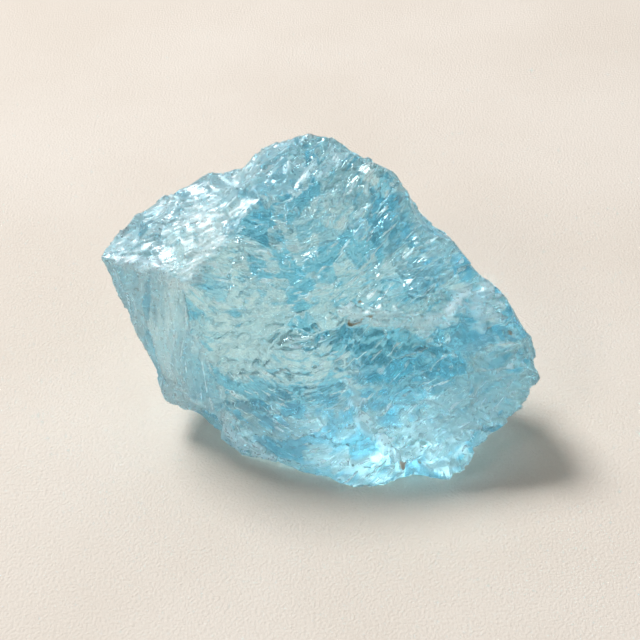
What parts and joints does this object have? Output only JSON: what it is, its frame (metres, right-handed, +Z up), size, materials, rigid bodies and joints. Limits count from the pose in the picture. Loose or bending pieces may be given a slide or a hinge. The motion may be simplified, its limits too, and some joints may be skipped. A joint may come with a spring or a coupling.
{
  "type": "rough aquamarine crystal",
  "caption": "Palm-sized broken block of clear pale blue beryl with hackly fracture faces, lying on a flat facet.",
  "frame": {"origin": "on the surface the crystal lies on, under the middle of its box", "axes": "+Z up, +X along the crystal's length towards its lower end, -Y the broad hackly front"},
  "size_m": [0.0511, 0.0316, 0.0333],
  "materials": {
    "beryl": "clear pale blue crystal, glassy on fresh breaks, frosted and milky on the top face and along cracks"
  },
  "bodies": {
    "root": {"aquamarine_crystal": "beryl"}
  },
  "joints": []
}
